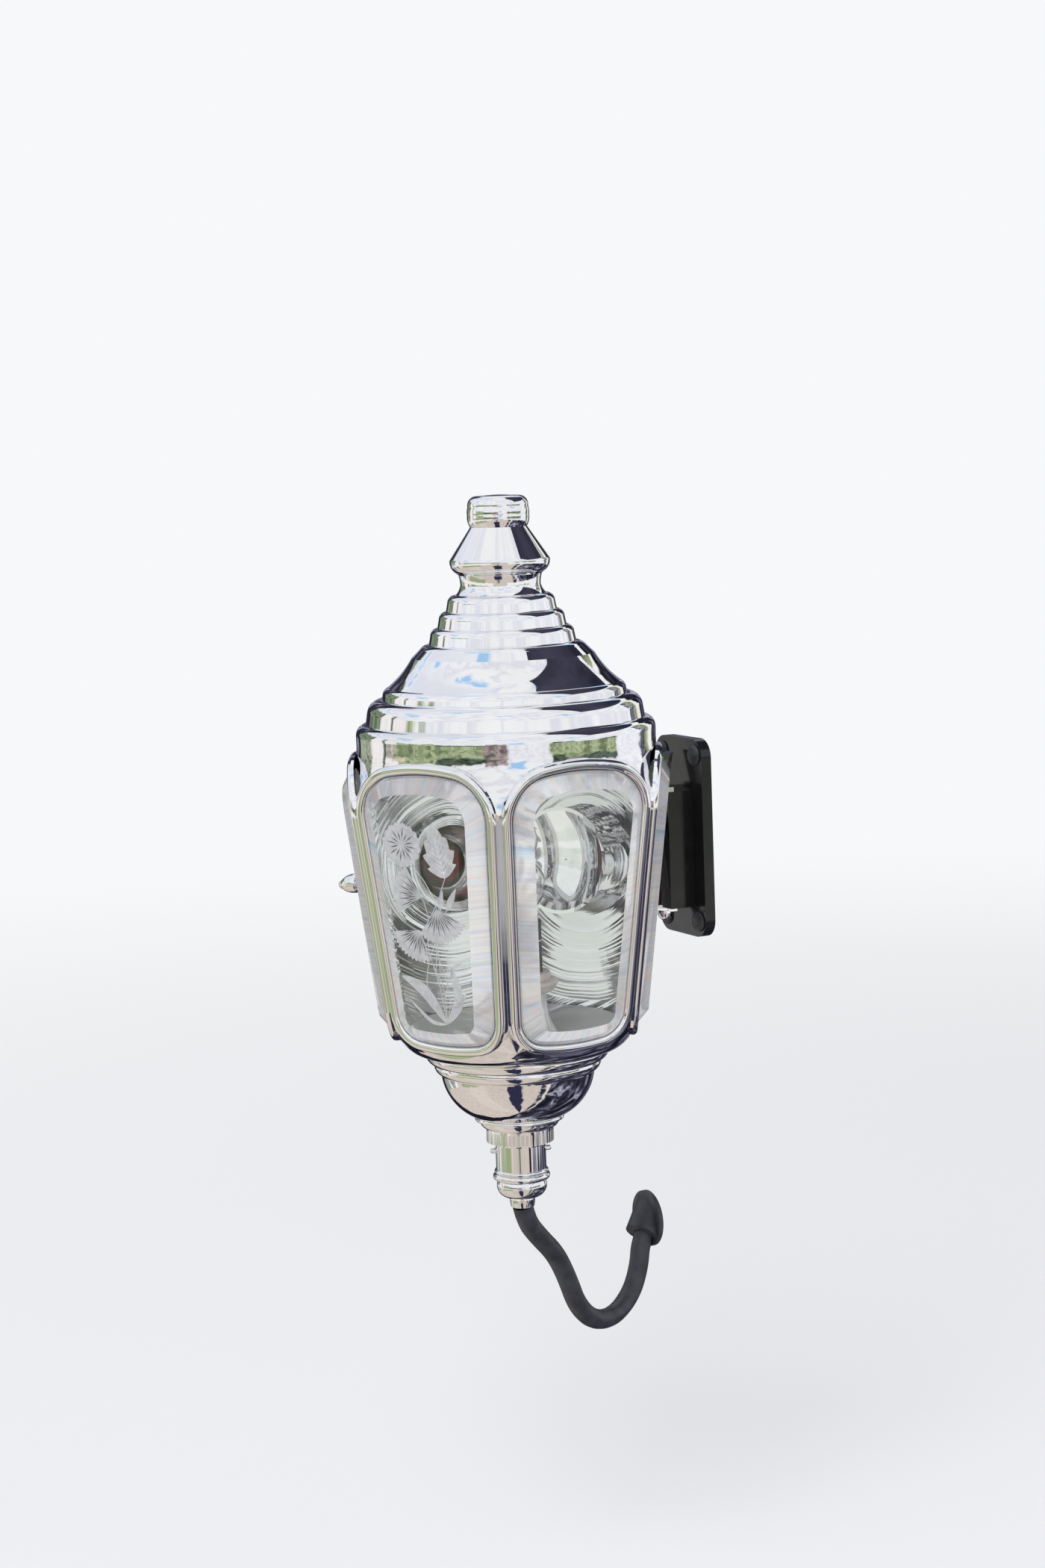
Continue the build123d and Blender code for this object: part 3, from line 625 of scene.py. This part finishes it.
def add_engraving():
    """The cut spray on the outer front pane."""
    place = side_matrix(SPRAY_AZ) @ Matrix.Translation((0, 0, GLASS_THICK))
    frost = cut_glass("engraved_frost", (0.70, 0.70, 0.72), (0.86, 0.86, 0.88), (0.58, 0.80),
                      0.35)
    deep = cut_glass("engraved_cut", (0.07, 0.07, 0.08), (0.16, 0.16, 0.17), (0.75, 0.95), 0.0)
    bright = cut_glass("engraved_vein", (0.84, 0.84, 0.88), (0.95, 0.95, 0.98), (0.85, 1.0), 0.0)
    groups = {"engraved_heads": [], "engraved_fans": [], "engraved_leaves": [],
              "engraved_stems": [], "engraved_cuts": [], "engraved_veins": []}
    looks = {"engraved_cuts": deep, "engraved_veins": bright}
    for centre, r, count in HEADS:
        edge, cuts = flower(centre, r, 0, 360, count)
        groups["engraved_heads"].append(edge)
        groups["engraved_cuts"] += cuts
    for apex, r, direction, wide, count in FANS:
        edge, cuts = flower(apex, r, direction - wide / 2, wide, count)
        groups["engraved_fans"].append(edge)
        groups["engraved_cuts"] += cuts
    for foot, tip, half, teeth in LEAVES:
        edge, veins = leaf(foot, tip, half, teeth)
        groups["engraved_leaves"].append(edge)
        groups["engraved_veins"] += veins
    for foot, bend, tip, half in BLADES:
        line = smooth([foot, bend, tip])
        n = len(line) - 1
        groups["engraved_leaves"].append(strip(
            line, [0.05 + half * math.sin(math.pi * (i / n)) for i in range(n + 1)]))
    for points in STEMS:
        line = smooth(points)
        groups["engraved_stems"].append(strip(line, [STEM_WIDE / 2] * len(line)))
    for level, (name, outlines) in enumerate(groups.items()):
        vertices, faces = slab(outlines, place, -SPRAY_SINK, SPRAY_PROUD + 0.01 * level)
        data = bpy.data.meshes.new(name)
        data.from_pydata(vertices, [], faces)
        own(name, data, "bevelled_glass", looks.get(name, frost))


# Bulb: the cap's foot, radius and top, and the height of the glass's middle, as the CAD has
# them
CAP_Z = -51.0 * MM
CAP_R = 11.0 * MM
CAP_TOP_Z = -27.0 * MM
BULB_Z = -13.1 * MM
FILAMENT_Z = BULB_Z + 1.2 * MM
FILAMENT_HALF = 4.2 * MM
COIL_R, COIL_TURNS, TURN_STEPS = 0.55 * MM, 14, 10
FILAMENT_R, FILAMENT_LEAD_R, CAP_WIRE_R = 0.12 * MM, 0.22 * MM, 0.35 * MM
CAP_WIRE_UP = 14 * MM


def wire(name, points, r, slot, look=None, cyclic=False):
    """A round wire through points."""
    data, line = round_curve(name, "POLY", points, r, 3, 8)
    line.use_cyclic_u = cyclic
    own(name, data, slot, look)


def circle(r, z, count):
    """Points of a level circle round the z axis."""
    return [Vector((r * math.cos(2 * math.pi * i / count),
                    r * math.sin(2 * math.pi * i / count), z)) for i in range(count)]


def add_bulb_inside():
    """Two leads and a short coil of filament, and the wire round the cap."""
    leads, _, shader = material("lead_wire")
    shader.inputs["Metallic"].default_value = 0.8
    shader.inputs["Base Color"].default_value = (0.6, 0.58, 0.55, 1)
    shader.inputs["Roughness"].default_value = 0.35
    for i, side in enumerate((-1, 1)):
        wire(f"filament_lead_{i}", [
            (-REACH + side * 1.6 * MM, 0, CAP_TOP_Z - 0.5 * MM),
            (-REACH + side * 1.8 * MM, 0, BULB_Z - 8 * MM),
            (-REACH + side * FILAMENT_HALF, 0, FILAMENT_Z),
        ], FILAMENT_LEAD_R, "dark_nickel", leads)
    coil = []
    for i in range(COIL_TURNS * TURN_STEPS + 1):
        a = 2 * math.pi * i / TURN_STEPS
        along = 2 * i / (COIL_TURNS * TURN_STEPS) - 1
        coil.append((-REACH + FILAMENT_HALF * along, COIL_R * math.cos(a),
                     FILAMENT_Z + COIL_R * math.sin(a)))
    wire("filament", coil, FILAMENT_R, "dark_nickel", leads)
    ring = [Vector(MIDDLE) + p for p in circle(CAP_R + 0.2 * MM, CAP_Z + CAP_WIRE_UP, 48)]
    wire("cap_wire", ring, CAP_WIRE_R, "porcelain", cyclic=True)


def cylinder(name, place, r, high, slot, crown=0.0):
    """A round piece along the z axis of a frame, crowned at its top if asked."""
    segments = 24
    rings = [(r, 0.0), (r, high)]
    rings += [(r * math.cos(math.radians(a)), high + crown * math.sin(math.radians(a)))
              for a in (20, 40, 60, 78)] if crown else []
    vertices, faces = [], []
    for radius, z in rings:
        vertices += [place @ p for p in circle(radius, z, segments)]
    for k in range(len(rings) - 1):
        for i in range(segments):
            j = (i + 1) % segments
            faces.append((k * segments + i, k * segments + j, (k + 1) * segments + j,
                          (k + 1) * segments + i))
    faces.append(tuple(reversed(range(segments))))
    last = (len(rings) - 1) * segments
    faces.append(tuple(last + i for i in range(segments)))
    data = bpy.data.meshes.new(name)
    data.from_pydata(vertices, [], faces)
    own(name, data, slot)


# Screws in the bracket's flange
SCREW_Y, SCREW_Z = 14 * MM, 37 * MM
FLANGE = 5 * MM
HEAD_R, HEAD_EDGE, HEAD_CROWN = 4.6 * MM, 0.5 * MM, 1.6 * MM
SHANK_R = 2.6 * MM


def add_screws():
    """Round-head screws, which fill their holes."""
    for i, y in enumerate((-SCREW_Y, SCREW_Y)):
        for k, z in enumerate((-SCREW_Z, SCREW_Z)):
            turn = Matrix.Translation((-FLANGE, y, z)) @ Matrix.Rotation(-math.pi / 2, 4, "Y")
            cylinder(f"screw_{i}{k}", turn, HEAD_R, HEAD_EDGE, "dark_nickel", HEAD_CROWN)
            cylinder(f"screw_shank_{i}{k}", turn @ Matrix.Translation((0, 0, -FLANGE)),
                     SHANK_R, FLANGE, "dark_nickel")


# Stage
FLOOR_Z = -0.36


def mottled(name, dark, light, scale):
    """A glowing, mottled material, for what only reflections see."""
    m, tree = bare(name)
    glow = tree.nodes.new("ShaderNodeEmission")
    tree.links.new(ramp(tree, noise(tree, scale, 5), [(0.35, dark), (0.65, light)]),
                   glow.inputs["Color"])
    out = tree.nodes.new("ShaderNodeOutputMaterial")
    tree.links.new(glow.outputs["Emission"], out.inputs["Surface"])
    return m


def staged(name, data, m):
    """An object of the stage."""
    data.materials.append(m)
    obj = placed(name, data)
    return obj


def reflected_only(obj):
    """Hides an object from all but reflections and what shows through glass."""
    obj.visible_camera = False
    obj.visible_diffuse = False
    obj.visible_shadow = False


def arc_card(name, azimuths, foot, top, m):
    """A curved card round the lamp between two azimuths. Foot and top: distance, height."""
    count, (start, end) = 24, azimuths
    vertices = []
    for i in range(count + 1):
        a = math.radians(start + (end - start) * i / count)
        for r, z in (foot, top):
            vertices.append((-REACH + r * math.sin(a), -r * math.cos(a), z))
    faces = [(2 * i, 2 * i + 2, 2 * i + 3, 2 * i + 1) for i in range(count)]
    data = bpy.data.meshes.new(name)
    data.from_pydata(vertices, [], faces)
    reflected_only(staged(name, data, m))


def add_canopy():
    """The dark eave over the lamp's inboard side, for reflections only."""
    dark = mottled("dark_tone", (0.010, 0.010, 0.022), (0.075, 0.075, 0.115), 0.9)
    arc_card("canopy", (44, 125), (1.1, 0.70), (0.35, 1.25), dark)


# Surroundings that only reflections see. Each band has its top, as the sine of the angle above
# eye level, and its tones by the azimuth in degrees at which each one starts.
DARK, BLACK = "dark", (0.012, 0.012, 0.022)
BEIGE, SAND, CREAM = (0.66, 0.58, 0.52), (0.80, 0.70, 0.66), (0.93, 0.90, 0.89)
OLIVE, TREES, LAWN = (0.30, 0.34, 0.20), (0.09, 0.12, 0.09), (0.36, 0.43, 0.25)
LEGS, EARTH, PALE = (0.03, 0.03, 0.07), (0.36, 0.29, 0.28), (0.88, 0.88, 0.93)
INBOARD = [(98, DARK), (104, OLIVE), (112, CREAM), (122, DARK)]
BANDS = [
    (-0.42, [(-180, BLACK), (-177, BEIGE), (-113, (0.72, 0.64, 0.58)), (-80, BEIGE),
             (-44, LEGS), (-20, BEIGE), (9, DARK), (18, SAND), (25, DARK), (165, BLACK)]),
    (-0.24, [(-180, BLACK), (-177, (0.34, 0.38, 0.33)), (-158, CREAM),
             (-152, (0.30, 0.35, 0.28)), (-140, CREAM), (-134, BEIGE), (-124, LAWN),
             (-72, BEIGE), (-40, LAWN), (-34, LEGS), (-30, (0.5, 0.5, 0.54)), (-24, BEIGE),
             (9, DARK), (20, SAND), (29, DARK), (165, BLACK)]),
    (-0.14, [(-180, BLACK), (-177, (0.80, 0.80, 0.84)), (-152, CREAM), (-47, BEIGE),
             (-7, CREAM), (60, PALE)] + INBOARD),
    (-0.05, [(-180, BLACK), (-177, (0.34, 0.38, 0.28)), (-152, CREAM), (-135, TREES),
             (-131, (0.60, 0.56, 0.50)), (-124, LAWN), (-44, EARTH), (-24, PALE), (6, LAWN),
             (64, PALE)] + INBOARD),
    (-0.015, [(-180, BLACK), (-177, (0.26, 0.30, 0.22)), (-152, CREAM), (-135, TREES),
              (-131, CREAM), (-124, (0.70, 0.55, 0.43)), (-108, LAWN), (-82, TREES),
              (-44, EARTH), (-24, PALE), (6, TREES), (64, PALE)] + INBOARD),
]
WALL = [(-180, BLACK), (-177, (0.20, 0.25, 0.17)), (-152, CREAM), (-135, TREES), (-131, CREAM),
        (-116, LAWN), (-82, TREES), (-43, EARTH), (-25, PALE), (6, TREES), (64, PALE)
        ] + INBOARD
RISE = [(-180, 0.7), (-177, 0.33), (-128, 0.2), (-116, 0.15), (-82, 0.07), (-60, 0.05),
        (-43, 0.09), (-25, 0.02), (6, 0.05), (64, 0.0), (98, 0.45), (165, 0.7)]
SOFT_AZ, SOFT_Z = 1.0, 0.012    # half widths over which two tones blend
RAGGED_AZ, RAGGED_Z = 0.05, 0.09    # how far noise moves the edges, as the share of a turn and z
LEAFY_Z = 0.15                  # how far it moves the tops against the sky
SPECKLE = 1.3                   # how strongly the ground is speckled, less where it is pale
HAZE_AZ, HAZE = (-175, -85), 0.85   # where haze covers the sky most and where it ends
WITHIN = 0.7                    # share of a plain pale tone in what metal behind glass reflects
WITHIN_TONE = (0.97, 0.97, 0.98)
SURROUND_R = 6.0


def turn_share(azimuth):
    """An azimuth in degrees as a share of the turn from -180."""
    return azimuth / 360 + 0.5


def sectors(tree, share, table):
    """A ramp round the turn that holds each tone from its azimuth on."""
    stops = [table[0]]
    for (_, before), (a, after) in zip(table, table[1:]):
        stops += [(a - SOFT_AZ, before), (a + SOFT_AZ, after)]
    return ramp(tree, share, [(turn_share(a), tone if isinstance(tone, tuple) else (tone,) * 3)
                              for a, tone in stops])


def by_azimuth(tree, share, table, dark):
    """A tone for each sector of the surroundings."""
    if not any(tone is DARK for _, tone in table):
        return sectors(tree, share, table)
    lit = sectors(tree, share, [(a, BLACK if tone is DARK else tone) for a, tone in table])
    where = sectors(tree, share, [(a, 1.0 if tone is DARK else 0.0) for a, tone in table])
    return mixed(tree, where, lit, dark)


def past(tree, value, limit):
    """0 below a limit and 1 above it, with a soft edge. The limit is a number or a socket."""
    return maths(tree, "MULTIPLY", maths(tree, "ADD", maths(tree, "SUBTRACT", value, limit),
                                         SOFT_Z), 0.5 / SOFT_Z, clamp=True)


def grain(tree, scale, detail, stretch=(1, 1, 1), distortion=0.0):
    """Noise on the shell, scaled to its radius."""
    return noise(tree, scale / SURROUND_R, detail, stretch, distortion)


def moved(tree, value, wobble, by):
    """A value moved by noise about 0.5, times a number."""
    return maths(tree, "ADD", value, maths(tree, "MULTIPLY", maths(tree, "SUBTRACT", wobble, 0.5),
                                           by))


def ground(tree, share, level, dark):
    """All below the sky: the bands from the lowest up, then the wall, with leaves and gravel."""
    low = by_azimuth(tree, share, BANDS[0][1], dark)
    for (top, _), table in zip(BANDS, [table for _, table in BANDS[1:]] + [WALL]):
        low = mixed(tree, past(tree, level, top), low, by_azimuth(tree, share, table, dark))
    gravel = ramp(tree, grain(tree, 16, 6, (1, 1, 1.6)), [
        (0.34, (0.78, 0.79, 0.80)), (0.5, (0.98, 0.98, 0.98)), (0.66, (1.10, 1.10, 1.10))])
    dapple = ramp(tree, grain(tree, 7, 4, (1, 1, 2.6), 1.0), [
        (0.34, (0.26, 0.28, 0.28)), (0.43, (0.62, 0.66, 0.62)), (0.50, (1.0, 1.0, 1.0)),
        (0.58, (1.5, 1.45, 1.6)), (0.64, (0.8, 0.8, 0.8)), (0.70, (0.40, 0.42, 0.40))])
    speckle = mixed(tree, past(tree, level, BANDS[2][0]), gravel, dapple)
    grey = tree.nodes.new("ShaderNodeRGBToBW")
    tree.links.new(low, grey.inputs[0])
    strong = maths(tree, "SUBTRACT", SPECKLE, maths(tree, "MULTIPLY", grey.outputs[0], SPECKLE),
                   clamp=True)
    return mixed(tree, strong, low, speckle, "MULTIPLY")


def add_surroundings():
    """Trees, grass and gravel round the lamp, with the dark carriage inboard. The sky is left
    open to the pale backdrop, with a few clouds and clear patches."""
    m, tree = bare("surroundings")
    split = tree.nodes.new("ShaderNodeSeparateXYZ")
    tree.links.new(vectors(tree, "NORMALIZE", here(tree)), split.inputs[0])
    x, y, z = split.outputs
    turn = maths(tree, "ARCTAN2", x, maths(tree, "MULTIPLY", y, -1.0))
    share = maths(tree, "ADD", maths(tree, "DIVIDE", turn, 2 * math.pi), 0.5)
    ragged = grain(tree, 5, 5)
    share = moved(tree, share, ragged, RAGGED_AZ)
    level = moved(tree, z, ragged, RAGGED_Z)
    height = moved(tree, z, grain(tree, 10, 4, (1, 1, 1.2)), -LEAFY_Z)

    dark = ramp(tree, grain(tree, 3.4, 6, (1, 1, 0.55), 1.1), [
        (0.36, (0.010, 0.010, 0.020)), (0.50, (0.035, 0.035, 0.055)),
        (0.57, (0.16, 0.16, 0.23)), (0.63, (0.50, 0.50, 0.62)), (0.68, (0.05, 0.05, 0.08))])
    low = ground(tree, share, level, dark)
    above = past(tree, height, by_azimuth(tree, share, RISE, dark))
    clouds = grain(tree, 2.1, 5, (1, 1, 2))
    cloud = ramp(tree, clouds, [
        (0.36, (0.38, 0.62, 0.92)), (0.40, (0.80, 0.84, 0.94)), (0.5, (0.72, 0.73, 0.84))])
    cover = ramp(tree, clouds, [
        (0.39, (1.0, 1.0, 1.0)), (0.44, (0.0, 0.0, 0.0)), (0.50, (0.0, 0.0, 0.0)),
        (0.56, (0.75, 0.75, 0.75)), (0.64, (0.0, 0.0, 0.0))])
    haze = ranged(tree, share, *map(turn_share, HAZE_AZ), HAZE, 0.0, "SMOOTHSTEP")
    cover = maths(tree, "MAXIMUM", cover, haze)

    path = tree.nodes.new("ShaderNodeLightPath")
    mirrored = maths(tree, "GREATER_THAN", path.outputs["Glossy Depth"], 0.5)
    through = path.outputs["Is Transmission Ray"]
    within = maths(tree, "MULTIPLY", maths(tree, "MULTIPLY", mirrored, WITHIN), through)
    straight = maths(tree, "MULTIPLY", through, maths(tree, "SUBTRACT", 1.0, mirrored))
    open_sky = maths(tree, "MULTIPLY", above, maths(tree, "SUBTRACT", 1.0, cover))
    glow = tree.nodes.new("ShaderNodeEmission")
    tree.links.new(mixed(tree, within, mixed(tree, above, low, cloud), WITHIN_TONE),
                   glow.inputs["Color"])
    shown(tree, maths(tree, "MAXIMUM", straight, open_sky), glow,
          tree.nodes.new("ShaderNodeBsdfTransparent"),
          tree.nodes.new("ShaderNodeOutputMaterial"))

    shell = bmesh.new()
    bmesh.ops.create_uvsphere(shell, u_segments=48, v_segments=24, radius=SURROUND_R)
    data = bpy.data.meshes.new("surroundings")
    shell.to_mesh(data)
    shell.free()
    obj = staged("surroundings", data, m)
    obj.location = MIDDLE
    reflected_only(obj)


FLOOR_HALF = 12.0
FLOOR_NEAR, FLOOR_FAR = 0.7, 2.6    # where the floor starts and ends melting into the backdrop
BACKDROP = (0.93, 0.94, 0.95)
SKY_FILL, SKY_STRENGTH = (0.96, 0.97, 1.0), 0.64


def add_floor():
    """Pale floor that melts into a pale backdrop."""
    m, tree, shader = material("pale_floor")
    shader.inputs["Base Color"].default_value = (0.88, 0.885, 0.89, 1)
    shader.inputs["Roughness"].default_value = 0.9
    melt = ranged(tree, vectors(tree, "LENGTH", here(tree)), FLOOR_NEAR, FLOOR_FAR, 0.0, 1.0,
                  "SMOOTHSTEP")
    glow = tree.nodes.new("ShaderNodeEmission")
    glow.inputs["Color"].default_value = (*BACKDROP, 1)
    shown(tree, melt, shader, glow, tree.nodes["Material Output"])
    data = bpy.data.meshes.new("floor")
    data.from_pydata([(x * FLOOR_HALF, y * FLOOR_HALF, FLOOR_Z)
                      for x, y in ((-1, -1), (1, -1), (1, 1), (-1, 1))], [], [(0, 1, 2, 3)])
    floor = staged("floor", data, m)
    floor.visible_glossy = False
    floor.visible_transmission = False


def add_backdrop():
    """Pale backdrop, with a cooler and weaker sky as the light that it gives."""
    world = bpy.data.worlds.new("backdrop")
    scene.world = world
    world.use_nodes = True
    tree = world.node_tree
    tree.nodes.clear()
    backdrop, fill = (tree.nodes.new("ShaderNodeBackground") for _ in range(2))
    backdrop.inputs["Color"].default_value = (*BACKDROP, 1)
    fill.inputs["Color"].default_value = (*SKY_FILL, 1)
    fill.inputs["Strength"].default_value = SKY_STRENGTH
    path = tree.nodes.new("ShaderNodeLightPath")
    seen = maths(tree, "MAXIMUM", path.outputs["Is Camera Ray"], maths(
        tree, "MAXIMUM", path.outputs["Is Glossy Ray"], path.outputs["Is Transmission Ray"]))
    shown(tree, seen, fill, backdrop, tree.nodes.new("ShaderNodeOutputWorld"))


def add_light(name, place, size, power):
    """A soft square lamp that points at the lantern."""
    data = bpy.data.lights.new(name, "AREA")
    data.size = size
    data.energy = power
    obj = placed(name, data)
    obj.visible_glossy = False
    obj.visible_transmission = False
    obj.location = place
    obj.rotation_euler = (Vector(MIDDLE) - Vector(place)).to_track_quat("-Z", "Y").to_euler()


add_camera()
add_lead()
add_engraving()
add_bulb_inside()
add_screws()
add_floor()
add_backdrop()
add_surroundings()
add_canopy()
add_light("key", (-1.6, -1.5, 1.9), 1.4, 32)
add_light("fill", (1.3, -1.7, 0.9), 1.4, 10)
add_light("back", (-0.3, 1.9, 1.6), 1.2, 10)
